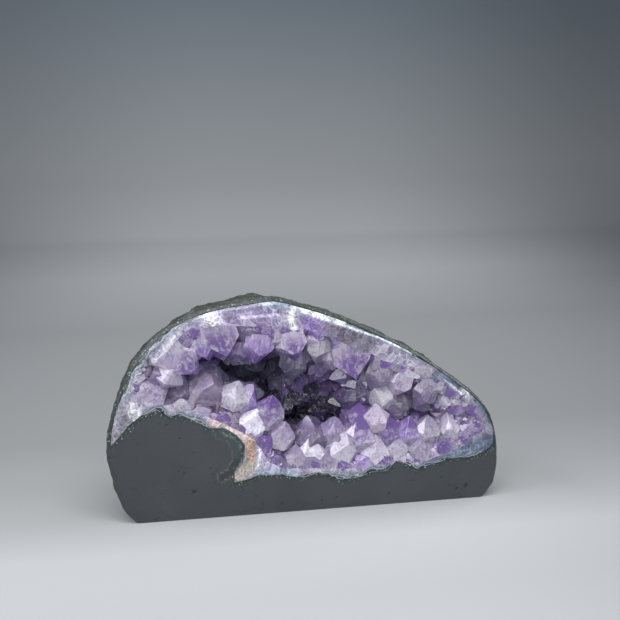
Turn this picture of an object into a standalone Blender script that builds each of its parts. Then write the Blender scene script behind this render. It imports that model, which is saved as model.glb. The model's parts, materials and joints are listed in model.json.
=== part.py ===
"""An amethyst geode, sawn and polished on its front and sawn flat below so that it stands.

It is two grown-together pieces: the basalt shell, the grey rock that the gas bubble formed
in, and the crystal crust that lines the bubble. The polished face lies in the XZ plane and
looks along -Y, and the origin is the middle of the base of the stone's bounding box.
"""

import math
import random

import bmesh
import bpy
from mathutils import Matrix, Vector, noise

MM = 0.001

# The stone: how deep it is behind its face, and the point that its back closes towards.
STONE_DEPTH = 86.0
STONE_CENTRE = (2.0, 46.0)
CROWN_TURN = 121.0
RIM_POINTS = 68

# The widest outline of the stone, across and up, clockwise from the lower left. The points
# below zero belong to the whole nodule, before its base was sawn off.
STONE_RIM = [
    (-80, -3), (-87.5, 1), (-92, 6), (-95, 15), (-98, 26), (-99.8, 38), (-98, 50), (-94, 62),
    (-89, 73.5),
    (-82, 84), (-73, 92.5), (-60, 100.3), (-46, 104.5), (-31, 106.5), (-17, 107.5),
    (-6, 104.5), (4, 101), (20, 95.5), (38, 87), (57, 76.5), (74, 64.5), (87, 54),
    (95.5, 44), (99.5, 30), (100, 14), (97.5, 5.5), (92, 0.5), (84, -4), (40, -14), (0, -16),
    (-45, -13), (-68, -9),
]

# The polished edge: how far it rounds off across the face, and back from it.
EDGE_WIDTH = 7.0
EDGE_DEPTH = 5.0
SIDE_EDGE_WIDTH = 3.0

# The bubble that the basalt froze around, at the face: the lower left lobe of rock stands
# up into it. It narrows towards its closed back.
BUBBLE_STEPS = [(-4, 1.0), (3, 1.0), (14, 0.94), (30, 0.82), (46, 0.67), (58, 0.52), (67, 0.36)]
BUBBLE_CENTRE = (2.0, 55.0)
BUBBLE_POINTS = 70
BUBBLE_RIM = [
    (-97.3, 38), (-91, 45.5), (-84.5, 51.5), (-77, 55), (-72.5, 54.5), (-69, 51), (-62, 51.5),
    (-56, 48.2), (-48, 44), (-40.5, 44), (-36, 39.5), (-32.4, 36), (-33.5, 29.5), (-37, 23.3),
    (-40, 17.5), (-34, 16.6), (-24, 19.5), (-15, 19), (-5, 16.5), (4, 19), (10, 16.2),
    (21, 14), (31, 17), (41, 17.6), (47, 23.8), (53, 16.9), (63, 19), (74, 21), (85, 21),
    (94, 24.5), (97.5, 31), (93.8, 43), (85.8, 52.6), (73, 62.8), (56, 74.8), (37.3, 85),
    (20, 93), (5, 98.8), (-6, 102.2), (-17, 105.2), (-31, 104), (-46, 102), (-60, 97.8),
    (-71.5, 91.2),
    (-80.5, 82.3), (-87.4, 72.4), (-92.5, 61), (-96.4, 49),
]

# The gap between the rock and the crust, which lie against each other.
GAP = 0.35

# The hollow inside the crust. The lip lies on the cut face and the throat behind it, each
# as an upper and a lower edge that run between its left and right ends.
LIP_TOP = [
    (-86, 66), (-80, 75), (-70, 85), (-57, 89), (-44, 91), (-30, 88), (-14, 88), (0, 85),
    (14, 79), (29, 71.5), (44, 65), (60, 57.5), (73, 51), (82, 43),
]
LIP_BOTTOM = [
    (82, 43), (73, 33), (58, 27), (43, 25.5), (28, 25.5), (13, 27), (0, 28), (-11, 29),
    (-21, 33.5), (-31, 40), (-43, 46.5), (-58, 54), (-73, 59), (-86, 66),
]
THROAT_DEPTH = 13.0
THROAT_TOP = [
    (-82, 63), (-74, 72), (-62, 80), (-50, 84), (-35, 84), (-18, 84), (-4, 81), (12, 74),
    (28, 67), (44, 60), (58, 53), (74, 41),
]
THROAT_BOTTOM = [
    (74, 41), (62, 34), (48, 31), (34, 33), (20, 31), (6, 28), (-8, 32), (-20, 38),
    (-32, 45), (-48, 52), (-64, 56), (-82, 63),
]
HOLLOW_POINTS = 44
HOLLOW_DEPTH = 59.0
HOLLOW_CENTRE = (-3.0, 56.0)

# The large crystals that show on the face. Each line gives the point (across, up, behind
# the face), the root likewise, the width across the flats, and the turn about its own axis
# in degrees.
LARGE_CRYSTALS = [
    ((-65, 72, 4), (-75, 92, 2), 17, 10),
    ((-66, 68, 9), (-86, 78, 5), 12, 35),
    ((-54, 77, 7), (-59, 95, 4), 11, 5),
    ((-42, 77, 6), (-47, 102, 3), 20, 20),
    ((-33, 72, 14), (-34, 95, 9), 14, 50),
    ((-26, 74, 7), (-23, 97, 5), 15, 0),
    ((-14, 80, 6), (-14, 98, 3), 12, 30),
    ((-6, 75, 5), (-11, 98, 3), 15, 15),
    ((-3, 67, 16), (-4, 92, 10), 12, 40),
    ((5, 72, 8), (7, 95, 4), 13, 25),
    ((14, 68, 10), (12, 93, 6), 12, 5),
    ((25, 64, 4), (16, 91, 3), 19, 30),
    ((34, 57, 8), (42, 82, 4), 14, 12),
    ((44, 53, 7), (54, 76, 4), 14, 40),
    ((56, 48, 7), (68, 68, 4), 13, 20),
    ((67, 47, 9), (80, 58, 5), 11, 50),
    ((-69, 65, 7), (-90, 54, 4), 17, 15),
    ((-64, 58, 12), (-82, 44, 10), 14, 40),
    ((-47, 66, 2), (-52, 52, 32), 24, 22),
    ((-60, 68, 12), (-66, 50, 14), 14, 45),
    ((-34, 66, 5), (-40, 45, 12), 13, 20),
    ((-26, 63, 9), (-36, 42, 16), 14, 50),
    ((-18, 58, 4), (-22, 38, 10), 15, 28),
    ((-26, 52, 2), (-32, 34, 8), 13, 10),
    ((-12, 45, 2), (-16, 27, 7), 12, 35),
    ((1, 46, 8), (4, 22, 14), 18, 15),
    ((2, 37, 4), (2, 15, 10), 15, 40),
    ((-6, 33, 3), (-6, 12, 8), 12, 10),
    ((15, 45, 7), (13, 22, 12), 14, 45),
    ((18, 38, 3), (17, 14, 11), 16, 5),
    ((10, 31, 2), (9, 12, 8), 12, 30),
    ((35, 35, 4), (34, 14, 10), 15, 45),
    ((47, 35, 4), (46, 14, 9), 13, 12),
    ((59, 35, 3), (57, 14, 9), 14, 38),
    ((28, 45, 5), (27, 22, 13), 17, 32),
    ((29, 50, 11), (29, 28, 16), 13, 5),
    ((35, 51, 5), (38, 27, 12), 13, 50),
    ((34, 58, 5), (50, 47, 18), 13, 20),
    ((43, 43, 5), (42, 22, 12), 13, 40),
    ((53, 43, 5), (50, 21, 11), 14, 15),
    ((63, 43, 5), (62, 22, 11), 14, 30),
    ((73, 44, 5), (78, 24, 10), 13, 0),
    ((-8, 50, 24), (10, 64, 38), 18, 20),
    ((13, 42, 26), (9, 72, 40), 14, 40),
    ((2, 46, 28), (9, 64, 42), 14, 5),
    ((20, 46, 22), (32, 64, 34), 14, 25),
    ((8, 62, 20), (14, 82, 34), 16, 10),
    ((23, 51, 15), (38, 62, 26), 15, 30),
]

# The smaller crystals that cover the rest of the hollow's lip and wall.
LIP_SPACING = 9.5
SMALL_SPACING = 14.0
SMALL_WIDTH = (8.5, 14.0)
SMALL_HEIGHT = (4.5, 8.5)
ROOT_LENGTH = 12.0
LIP_DEPTH = (3.0, 9.0)
FREE_OF_FACE = 3.0

# The faces of a quartz crystal's point lean this far from its long axis.
POINT_LEAN = math.radians(38.2)

BASALT_COLOUR = (0.07, 0.075, 0.085, 1.0)
AMETHYST_COLOUR = (0.36, 0.24, 0.52, 1.0)


def clear_scene():
    for old in list(bpy.data.objects):
        bpy.data.objects.remove(old, do_unlink=True)


def new_collection(name):
    collection = bpy.data.collections.new(name)
    bpy.context.scene.collection.children.link(collection)
    return collection


def new_material(name, colour, roughness):
    material = bpy.data.materials.new(name)
    material.use_nodes = True
    shader = material.node_tree.nodes["Principled BSDF"]
    shader.inputs["Base Color"].default_value = colour
    shader.inputs["Roughness"].default_value = roughness
    shader.inputs["Metallic"].default_value = 0.0
    material.diffuse_color = colour
    return material


def add_object(name, mesh_builder, collection):
    mesh = bpy.data.meshes.new(name)
    mesh_builder.to_mesh(mesh)
    mesh_builder.free()
    made = bpy.data.objects.new(name, mesh)
    collection.objects.link(made)
    return made


def smooth_path(points, steps=8):
    """A closed curve through the points, as a dense list of points."""
    dense = []
    count = len(points)
    for i in range(count):
        before, start, end, after = (Vector(points[(i + k) % count]) for k in (-1, 0, 1, 2))
        for step in range(steps):
            t = step / steps
            dense.append(0.5 * (
                2 * start + (end - before) * t
                + (2 * before - 5 * start + 4 * end - after) * t ** 2
                + (3 * start - before - 3 * end + after) * t ** 3
            ))
    return dense


def even_points(path, count, closed):
    """The given number of points at even distances along a path."""
    run = path + [path[0]] if closed else path
    lengths = [0.0]
    for a, b in zip(run, run[1:]):
        lengths.append(lengths[-1] + (b - a).length)
    spans = count if closed else count - 1
    out = []
    k = 0
    for i in range(count):
        goal = lengths[-1] * i / spans
        while k < len(run) - 2 and lengths[k + 1] < goal:
            k += 1
        part = (goal - lengths[k]) / max(lengths[k + 1] - lengths[k], 1e-9)
        out.append(run[k].lerp(run[k + 1], min(part, 1.0)))
    return out


def moved_in(ring, distance):
    """A clockwise ring with each point moved inwards by distance(point)."""
    out = []
    for i, point in enumerate(ring):
        along = ring[(i + 1) % len(ring)] - ring[i - 1]
        inward = Vector((along.y, -along.x)).normalized()
        out.append(point + inward * distance(point))
    return out


def clockwise(ring):
    area = sum(a.x * b.y - b.x * a.y for a, b in zip(ring, ring[1:] + ring[:1]))
    return ring if area < 0 else ring[::-1]


def at_depth(ring, depth):
    """Points of the face plane in metres, at a depth behind the face."""
    return [Vector((p.x * MM, depth * MM, p.y * MM)) for p in ring]


def scaled(ring, centre, factor):
    middle = Vector(centre)
    return [middle + (p - middle) * factor for p in ring]


def loft(name, rings, collection):
    """A closed solid through rings of equally many points, front to back."""
    solid = bmesh.new()
    loops = []
    for ring in rings:
        verts = [solid.verts.new(p) for p in ring]
        edges = [solid.edges.new((a, b)) for a, b in zip(verts, verts[1:] + verts[:1])]
        loops.append((verts, edges))
    for (front, _), (back, _) in zip(loops, loops[1:]):
        for i in range(len(front)):
            j = (i + 1) % len(front)
            solid.faces.new((front[i], front[j], back[j]))
            solid.faces.new((front[i], back[j], back[i]))
    bmesh.ops.holes_fill(solid, edges=loops[0][1] + loops[-1][1])
    bmesh.ops.recalc_face_normals(solid, faces=solid.faces)
    return add_object(name, solid, collection)


def cut(target, tool, operation):
    """Applies a Boolean with an object or a collection of objects to the target's mesh."""
    modifier = target.modifiers.new(operation.lower(), "BOOLEAN")
    modifier.operation = operation
    modifier.solver = "EXACT"
    if isinstance(tool, bpy.types.Collection):
        modifier.operand_type = "COLLECTION"
        modifier.collection = tool
    else:
        modifier.object = tool
    graph = bpy.context.evaluated_depsgraph_get()
    mesh = bpy.data.meshes.new_from_object(target.evaluated_get(graph))
    target.modifiers.clear()
    target.data = mesh


def keep_largest(target):
    """Removes every loose piece of the mesh but the one with the most volume."""
    solid = bmesh.new()
    solid.from_mesh(target.data)
    left = set(solid.verts)
    pieces = []
    while left:
        piece = set()
        waiting = [left.pop()]
        while waiting:
            vert = waiting.pop()
            piece.add(vert)
            for edge in vert.link_edges:
                other = edge.other_vert(vert)
                if other in left:
                    left.discard(other)
                    waiting.append(other)
        pieces.append(piece)

    def size(piece):
        span = [[f(v.co[i] for v in piece) for f in (min, max)] for i in range(3)]
        return math.prod(high - low for low, high in span)

    largest = max(pieces, key=size)
    spare = [v for v in solid.verts if v not in largest]
    bmesh.ops.delete(solid, geom=spare, context="VERTS")
    solid.to_mesh(target.data)
    solid.free()


def saw_base(target):
    """Cuts off all that is below the base plane and closes the cut."""
    solid = bmesh.new()
    solid.from_mesh(target.data)
    whole = solid.verts[:] + solid.edges[:] + solid.faces[:]
    sawn = bmesh.ops.bisect_plane(solid, geom=whole, plane_co=(0, 0, 0),
                                  plane_no=(0, 0, -1), clear_outer=True)
    rim = [e for e in sawn["geom_cut"] if isinstance(e, bmesh.types.BMEdge)]
    bmesh.ops.holes_fill(solid, edges=rim)
    solid.to_mesh(target.data)
    solid.free()


def make_stone(collection):
    """The whole nodule: a polished face with a rounded edge, and a lumpy natural back."""
    rim = even_points(clockwise(smooth_path(STONE_RIM)), RIM_POINTS, closed=True)

    def edge_width(point):
        top = min(max((point.y - 35) / 30, 0.0), 1.0)
        foot = min(max(point.y / 12, 0.25), 1.0)
        return (SIDE_EDGE_WIDTH + (EDGE_WIDTH - SIDE_EDGE_WIDTH) * top) * foot

    rings = []
    for turn in (0, 25, 50, 72):
        angle = math.radians(turn)
        inset = moved_in(rim, lambda p: edge_width(p) * (1 - math.sin(angle)))
        rings.append(at_depth(inset, EDGE_DEPTH * (1 - math.cos(angle))))
    centre = Vector(STONE_CENTRE)
    back_steps = 11
    for step in range(back_steps + 1):
        share = (step / back_steps) ** 0.85 * 0.985
        depth = EDGE_DEPTH + (STONE_DEPTH - EDGE_DEPTH) * math.sin(share * math.pi / 2)
        reach = (depth - EDGE_DEPTH) / (STONE_DEPTH - EDGE_DEPTH)
        ring = []
        for point in rim:
            arm = point - centre
            turn = math.atan2(arm.y, arm.x)
            crown = max(math.cos(turn - math.radians(CROWN_TURN)), 0.0) ** 6
            flat = 1.5 + 1.1 * crown - 0.3 * max(-math.cos(turn), 0.0)
            size = (1 - reach ** flat) ** (1 / 2.1)
            here = centre + arm * size
            place = Vector((here.x, depth, here.y))
            rough = min((depth - EDGE_DEPTH) / 25, 1.0)
            lump = noise.noise(place / 27) * 8 + noise.noise(place / 12 + Vector((9, 4, 2))) * 5
            lump = min(max(lump - 1, -4.0), 1.0) * rough
            ring.append(Vector((here.x, here.y)) + arm.normalized() * lump)
        rings.append(at_depth(ring, depth))
    stone = loft("basalt_shell", rings, collection)
    saw_base(stone)
    return stone


def make_bubble(name, gap, collection):
    """The bubble as a solid, smaller than the rock's own hollow by the gap."""
    rim = even_points(clockwise(smooth_path(BUBBLE_RIM)), BUBBLE_POINTS, closed=True)
    (before, wide), (last, narrow) = BUBBLE_STEPS[-2:]
    end_size = narrow + (wide - narrow) * gap / (last - before)
    rings = []
    for depth, size in BUBBLE_STEPS[:-1] + [(last - gap, end_size)]:
        ring = moved_in(scaled(rim, BUBBLE_CENTRE, size), lambda p: gap)
        rings.append(at_depth(ring, depth))
    return loft(name, rings, collection)


def make_hollow(collection):
    """The air inside the crust, before its crystals are taken out of it."""
    def edge(points):
        path = [Vector(p) for p in points]
        return even_points(path, HOLLOW_POINTS // 2 + 1, closed=False)[:-1]

    lip = edge(LIP_TOP) + edge(LIP_BOTTOM)
    throat = edge(THROAT_TOP) + edge(THROAT_BOTTOM)
    rings = [
        at_depth(scaled(lip, HOLLOW_CENTRE, 1.04), -4),
        at_depth(lip, 0),
        at_depth(throat, THROAT_DEPTH),
        at_depth(scaled(throat, HOLLOW_CENTRE, 0.89), 26),
        at_depth(scaled(throat, HOLLOW_CENTRE, 0.74), 40),
        at_depth(scaled(throat, HOLLOW_CENTRE, 0.56), 52),
        at_depth(scaled(throat, HOLLOW_CENTRE, 0.28), HOLLOW_DEPTH),
    ]
    return loft("hollow", rings, collection)


def make_crystal(point, root, width, turn, offsets, collection):
    """A six-sided prism with a six-faced point; the offsets push its faces outwards."""
    axis = point - root
    length = axis.length
    solid = bmesh.new()
    bmesh.ops.create_cone(solid, cap_ends=True, segments=6, radius1=width * 0.46,
                          radius2=width / math.sqrt(3), depth=length + width,
                          matrix=Matrix.Translation((0, 0, (length + width) / 2)))
    for side in range(6):
        heading = math.radians(side * 60 + 30)
        slope = Vector((math.cos(POINT_LEAN) * math.cos(heading),
                        math.cos(POINT_LEAN) * math.sin(heading), math.sin(POINT_LEAN)))
        place = Vector((0, 0, length)) + slope * offsets[side] * width
        whole = solid.verts[:] + solid.edges[:] + solid.faces[:]
        sliced = bmesh.ops.bisect_plane(solid, geom=whole, plane_co=place, plane_no=slope,
                                        clear_outer=True)
        rim = [e for e in sliced["geom_cut"] if isinstance(e, bmesh.types.BMEdge)]
        bmesh.ops.holes_fill(solid, edges=rim)
    facing = axis.to_track_quat("Z", "Y").to_matrix().to_4x4()
    place = Matrix.Translation(root) @ facing @ Matrix.Rotation(turn, 4, "Z")
    bmesh.ops.transform(solid, matrix=place, verts=solid.verts)
    bmesh.ops.recalc_face_normals(solid, faces=solid.faces)
    return add_object("crystal", solid, collection)


def point_offsets(chance):
    """Three large faces meet at the tip and three smaller ones lie between them."""
    large = [chance.uniform(0.0, 0.05) for _ in range(3)]
    small = [chance.uniform(0.04, 0.13) for _ in range(3)]
    return [value for pair in zip(large, small) for value in pair]


def wall_spots(hollow, taken, chance):
    """Even-spaced places on the hollow's wall, each with the way into the hollow."""
    mesh = hollow.data
    mesh.calc_loop_triangles()
    areas = [t.area for t in mesh.loop_triangles]
    spots = []
    for triangle in chance.choices(list(mesh.loop_triangles), areas, k=6000):
        a, b, c = (mesh.vertices[i].co for i in triangle.vertices)
        u, v = chance.random(), chance.random()
        if u + v > 1:
            u, v = 1 - u, 1 - v
        place = a + (b - a) * u + (c - a) * v
        if place.y < FREE_OF_FACE * MM:
            continue
        if all((place - other).length > SMALL_SPACING * MM for other in taken):
            taken.append(place)
            spots.append((place, -triangle.normal.copy()))
    return spots


def make_crystals(hollow, collection):
    chance = random.Random(7)
    feet = []
    middle = Vector((HOLLOW_CENTRE[0], HOLLOW_CENTRE[1]))
    for point, root, width, turn in LARGE_CRYSTALS:
        tip = Vector((point[0], point[2], point[1])) * MM
        foot = Vector((root[0], root[2], root[1])) * MM
        make_crystal(tip, foot, width * MM, math.radians(turn), point_offsets(chance),
                     collection)
        feet.append(foot.lerp(tip, 0.45))
    rim = smooth_path(LIP_TOP[:-1] + LIP_BOTTOM[:-1])
    for spot in even_points(rim, 60, closed=True):
        place = Vector((spot.x, chance.uniform(*LIP_DEPTH), spot.y)) * MM
        if any((place - other).length < LIP_SPACING * MM for other in feet):
            continue
        heading = Vector(((middle.x - spot.x) * 0.35, chance.uniform(-8, 8),
                          middle.y - spot.y)).normalized()
        make_crystal(place + heading * chance.uniform(*SMALL_HEIGHT) * MM,
                     place - heading * ROOT_LENGTH * MM, chance.uniform(*SMALL_WIDTH) * MM,
                     chance.uniform(0, math.pi / 3), point_offsets(chance), collection)
        feet.append(place)
    for place, inward in wall_spots(hollow, feet, chance):
        lean = Vector([chance.uniform(-0.35, 0.35) for _ in range(3)])
        heading = (inward + lean).normalized()
        tip = place + heading * chance.uniform(*SMALL_HEIGHT) * MM
        foot = place - heading * ROOT_LENGTH * MM
        make_crystal(tip, foot, chance.uniform(*SMALL_WIDTH) * MM,
                     chance.uniform(0, math.pi / 3), point_offsets(chance), collection)


def stand_on_origin(pieces):
    """Moves the finished meshes so that the middle of the base is the origin."""
    corners = [v.co for piece in pieces for v in piece.data.vertices]
    middle = [(min(c[i] for c in corners) + max(c[i] for c in corners)) / 2 for i in (0, 1)]
    base = min(c.z for c in corners)
    for piece in pieces:
        piece.data.transform(Matrix.Translation((-middle[0], -middle[1], -base)))


def main():
    clear_scene()
    geode = new_collection("amethyst_geode")
    tools = new_collection("cutters")
    crystals = new_collection("crystals")

    shell = make_stone(geode)
    crust = bpy.data.objects.new("amethyst_crust", shell.data.copy())
    geode.objects.link(crust)
    bubble = make_bubble("bubble", 0.0, tools)
    lining = make_bubble("lining", GAP, tools)
    hollow = make_hollow(tools)
    make_crystals(hollow, crystals)

    cut(shell, bubble, "DIFFERENCE")
    keep_largest(shell)
    cut(hollow, crystals, "DIFFERENCE")
    keep_largest(hollow)
    cut(crust, lining, "INTERSECT")
    cut(crust, hollow, "DIFFERENCE")
    keep_largest(crust)

    shell.data.materials.clear()
    shell.data.materials.append(new_material("basalt", BASALT_COLOUR, 0.5))
    crust.data.materials.clear()
    crust.data.materials.append(new_material("amethyst", AMETHYST_COLOUR, 0.15))
    for tool in list(tools.objects) + list(crystals.objects):
        tool.hide_render = True
        tool.display_type = "WIRE"
    stand_on_origin([shell, crust])


main()
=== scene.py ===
import json
import math
import random

import bmesh
import bpy
from mathutils import Matrix, Vector, noise
from mathutils.bvhtree import BVHTree

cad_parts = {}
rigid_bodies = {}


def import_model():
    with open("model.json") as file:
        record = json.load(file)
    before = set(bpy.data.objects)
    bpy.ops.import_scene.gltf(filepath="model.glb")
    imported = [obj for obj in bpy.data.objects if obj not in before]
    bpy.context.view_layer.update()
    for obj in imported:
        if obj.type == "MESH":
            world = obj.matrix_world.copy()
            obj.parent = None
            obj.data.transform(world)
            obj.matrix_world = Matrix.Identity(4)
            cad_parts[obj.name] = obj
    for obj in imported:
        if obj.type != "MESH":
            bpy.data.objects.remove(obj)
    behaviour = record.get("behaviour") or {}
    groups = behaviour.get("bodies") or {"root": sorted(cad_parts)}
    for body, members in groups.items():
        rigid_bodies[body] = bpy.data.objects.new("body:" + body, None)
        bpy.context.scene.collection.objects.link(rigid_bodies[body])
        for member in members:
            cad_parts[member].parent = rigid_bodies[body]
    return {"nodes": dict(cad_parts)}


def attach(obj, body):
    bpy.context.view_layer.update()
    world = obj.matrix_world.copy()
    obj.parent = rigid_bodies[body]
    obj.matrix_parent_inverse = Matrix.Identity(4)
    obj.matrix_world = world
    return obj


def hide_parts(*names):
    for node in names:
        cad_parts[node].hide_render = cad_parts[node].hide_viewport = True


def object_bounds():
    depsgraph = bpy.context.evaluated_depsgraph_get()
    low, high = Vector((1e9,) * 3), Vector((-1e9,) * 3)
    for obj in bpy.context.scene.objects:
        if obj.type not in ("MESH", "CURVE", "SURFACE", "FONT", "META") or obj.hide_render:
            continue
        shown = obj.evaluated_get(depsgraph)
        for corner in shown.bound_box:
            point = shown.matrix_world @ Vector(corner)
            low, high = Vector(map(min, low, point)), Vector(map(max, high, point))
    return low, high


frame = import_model()
cad_box = [list(corner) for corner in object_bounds()]

MM = 0.001
face_y = cad_box[0][1]


# Camera. It stands in front of the stone's left half and looks a little down on it, through
# a long lens that keeps the outline true.
eye = Vector((-0.1854, face_y - 0.6915, 0.2161))
aim = Vector((0.0, face_y, 0.1002))
bpy.ops.object.camera_add(location=eye, rotation=(aim - eye).to_track_quat("-Z", "Y").to_euler())
camera = bpy.context.object
camera.name = "camera"
camera.data.sensor_width = 36.0
camera.data.lens = 36.0 * 1500 / 620
camera.data.clip_start = 0.01
bpy.context.scene.camera = camera


# The studio sweep: one sheet of pale paper that lies under the stone and curves up behind
# it. Its light is painted into its colour: brightest in front, falling off to grey above,
# and painted shade darkens it towards the sides.
SWEEP_BACK = 1.1
SWEEP_RADIUS = 0.5
SWEEP_REACH = 4.0
SWEEP_RISE = 3.0
SWEEP_STEPS = 16


def node(tree, kind, inputs=(), **settings):
    made = tree.nodes.new("ShaderNode" + kind)
    for name, value in settings.items():
        setattr(made, name, value)
    for name, value in dict(inputs).items():
        if isinstance(value, bpy.types.NodeSocket):
            tree.links.new(value, made.inputs[name])
        else:
            made.inputs[name].default_value = value
    return made


def new_finish(name, **values):
    """A Principled material; returns it with its tree, its shader and the place on the piece."""
    finish = bpy.data.materials.new(name)
    finish.use_nodes = True
    tree = finish.node_tree
    shader = tree.nodes["Principled BSDF"]
    for socket, value in values.items():
        shader.inputs[socket.replace("_", " ")].default_value = value
    place = tree.nodes.new("ShaderNodeTexCoord").outputs["Object"]
    return finish, tree, shader, place


def math_node(tree, operation, a, b=0.0, clamp=False):
    made = node(tree, "Math", operation=operation, use_clamp=clamp)
    for socket, value in zip(made.inputs, (a, b)):
        if isinstance(value, bpy.types.NodeSocket):
            tree.links.new(value, socket)
        else:
            socket.default_value = value
    return made.outputs[0]


def between(tree, value, low, high):
    """0 where the value is at low, 1 where it is at high, and smooth between them."""
    made = node(tree, "MapRange", {"Value": value, "From Min": low, "From Max": high},
                interpolation_type="SMOOTHSTEP")
    return made.outputs["Result"]


def blended(tree, share, first, second):
    made = node(tree, "Mix", data_type="RGBA")
    for index, value in ((0, share), (6, first), (7, second)):
        if isinstance(value, bpy.types.NodeSocket):
            tree.links.new(value, made.inputs[index])
        else:
            made.inputs[index].default_value = value if index == 0 else (*value, 1.0)[:4]
    return made.outputs[2]


def ramp(tree, value, stops):
    made = node(tree, "ValToRGB", {"Fac": value})
    elements = made.color_ramp.elements
    while len(elements) < len(stops):
        elements.new(1.0)
    for element, (position, colour) in zip(elements, stops):
        element.position = position
        element.color = (*colour, 1.0)
    return made.outputs["Color"]


def mottle(tree, place, size, detail=3.0, distortion=0.0):
    """Soft noise between 0 and 1 with spots of about the given size in metres."""
    made = node(tree, "TexNoise", {"Vector": place, "Scale": 1.0 / size, "Detail": detail,
                                   "Distortion": distortion})
    return made.outputs["Fac"]


bpy.ops.mesh.primitive_plane_add(size=1.0)
sweep = bpy.context.object
sweep.name = "paper_sweep"
for corner in sweep.data.vertices:
    corner.co = (math.copysign(SWEEP_REACH, corner.co.x),
                 SWEEP_BACK if corner.co.y > 0 else -SWEEP_REACH, 0.0)
bpy.ops.object.mode_set(mode="EDIT")
bpy.ops.mesh.select_all(action="DESELECT")
bpy.ops.object.mode_set(mode="OBJECT")
for edge in sweep.data.edges:
    edge.select = all(sweep.data.vertices[i].co.y > 0 for i in edge.vertices)
bpy.ops.object.mode_set(mode="EDIT")
bpy.ops.mesh.select_mode(type="EDGE")
for step in range(SWEEP_STEPS):
    turn = [math.pi / 2 * k / SWEEP_STEPS for k in (step, step + 1)]
    rise = (0.0, SWEEP_RADIUS * (math.sin(turn[1]) - math.sin(turn[0])),
            SWEEP_RADIUS * (math.cos(turn[0]) - math.cos(turn[1])))
    bpy.ops.mesh.extrude_region_move(TRANSFORM_OT_translate={"value": rise})
bpy.ops.mesh.extrude_region_move(TRANSFORM_OT_translate={"value": (0.0, 0.0, SWEEP_RISE)})
bpy.ops.object.mode_set(mode="OBJECT")
bpy.ops.object.shade_smooth()

# The paper's painted light: its grey and how far it leans to blue, along its length from in
# front of the stone to high behind it, painted in place of the fall-off of the studio light.
PAPER_PAINTED_LIGHT = [
    (-0.16, 0.375, 0.03), (-0.09, 0.41, 0.03), (-0.04, 0.35, 0.03), (0.03, 0.28, 0.03),
    (0.12, 0.24, 0.03), (0.26, 0.255, 0.03), (0.5, 0.29, 0.03), (0.65, 0.38, 0.03),
    (0.8, 0.48, 0.03), (1.16, 0.565, 0.03), (1.39, 0.41, 0.04), (1.58, 0.345, 0.06),
    (1.75, 0.284, 0.10), (1.87, 0.234, 0.15), (2.5, 0.18, 0.15)]
TONE_START = 0.5
TONE_LENGTH = 3.0
# The camera stands on the left, so the middle of its view drifts to the right going back.
VIEW_SLANT = 0.268
VIEW_MIDDLE = 0.03

paper, tree, shader, place = new_finish("paper", Roughness=0.85)
spot = node(tree, "SeparateXYZ", {"Vector": place})
along = math_node(tree, "ADD", spot.outputs["Y"], spot.outputs["Z"])
tones = ramp(tree, math_node(tree, "DIVIDE", math_node(tree, "ADD", along, TONE_START),
                             TONE_LENGTH),
             [((t + TONE_START) / TONE_LENGTH, (g * (1 - blue), g, g * (1 + blue)))
              for t, g, blue in PAPER_PAINTED_LIGHT])
# Painted shade: away from the middle of the view the paper is painted darker, most on the floor
# in front.
aside = math_node(tree, "SUBTRACT", spot.outputs["X"],
                  math_node(tree, "MULTIPLY", spot.outputs["Y"], VIEW_SLANT))
aside = math_node(tree, "ABSOLUTE", math_node(tree, "ADD", aside, VIEW_MIDDLE))
painted_side_shade = node(tree, "MapRange", {"Value": along, "From Min": 0.7, "From Max": 1.45,
                               "To Min": 1.15, "To Max": 0.53}).outputs["Result"]
painted_side_shade = math_node(tree, "MULTIPLY", between(tree, aside, 0.08, 0.55), painted_side_shade, clamp=True)
tree.links.new(blended(tree, painted_side_shade, tones, (0.092, 0.104, 0.12)), shader.inputs["Base Color"])
sweep.data.materials.append(paper)


# The studio light: two long soft boxes, above on the left and on the right, whose
# reflections run along the polished edge, a large one overhead in front, and a grey room.
def soft_box(name, place, target, size, power, colour=(1.0, 1.0, 1.0)):
    bpy.ops.object.light_add(type="AREA", location=place)
    box = bpy.context.object
    box.name = name
    box.rotation_euler = (Vector(target) - Vector(place)).to_track_quat("-Z", "Y").to_euler()
    box.data.shape = "RECTANGLE"
    box.data.size, box.data.size_y = size
    box.data.energy = power
    box.data.color = colour


soft_box("box_overhead", (-0.1, -0.55, 1.0), (0, 0, 0.05), (1.0, 0.7), 12.0)
soft_box("box_front", (-0.55, -1.3, 0.55), (0, 0, 0.05), (0.9, 0.7), 9.0)
soft_box("box_left", (-0.95, -0.15, 0.75), (0, 0, 0.05), (0.9, 0.3), 7.0)
soft_box("box_right", (0.95, 0.25, 0.7), (0, 0, 0.05), (0.9, 0.3), 6.0)

room = bpy.data.worlds.new("room")
room.use_nodes = True
room.node_tree.nodes["Background"].inputs["Color"].default_value = (0.72, 0.77, 0.83, 1.0)
room.node_tree.nodes["Background"].inputs["Strength"].default_value = 0.35
bpy.context.scene.world = room
bpy.context.scene.view_settings.view_transform = "Standard"


# The basalt shell: the rock round the gas bubble, sawn through and polished to a satin on
# the front, sawn flat below, and left as it came out of the ground on the back. It is one
# stone, so it is refined from the solid itself: the back gets the lumps and the grain.
MERGE = 0.005 * MM


def merged(source):
    """A new mesh builder with the solid's corners joined."""
    builder = bmesh.new()
    builder.from_mesh(frame["nodes"][source].data)
    bmesh.ops.remove_doubles(builder, verts=builder.verts, dist=MERGE)
    return builder


def new_piece(name, builder):
    """An object with the builder's mesh, without the normals of the solid it came from."""
    mesh = bpy.data.meshes.new(name)
    builder.to_mesh(mesh)
    for spare in ("custom_normal", "sharp_face"):
        if spare in mesh.attributes:
            mesh.attributes.remove(mesh.attributes[spare])
    piece = bpy.data.objects.new(name, mesh)
    bpy.context.scene.collection.objects.link(piece)
    return piece


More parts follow.
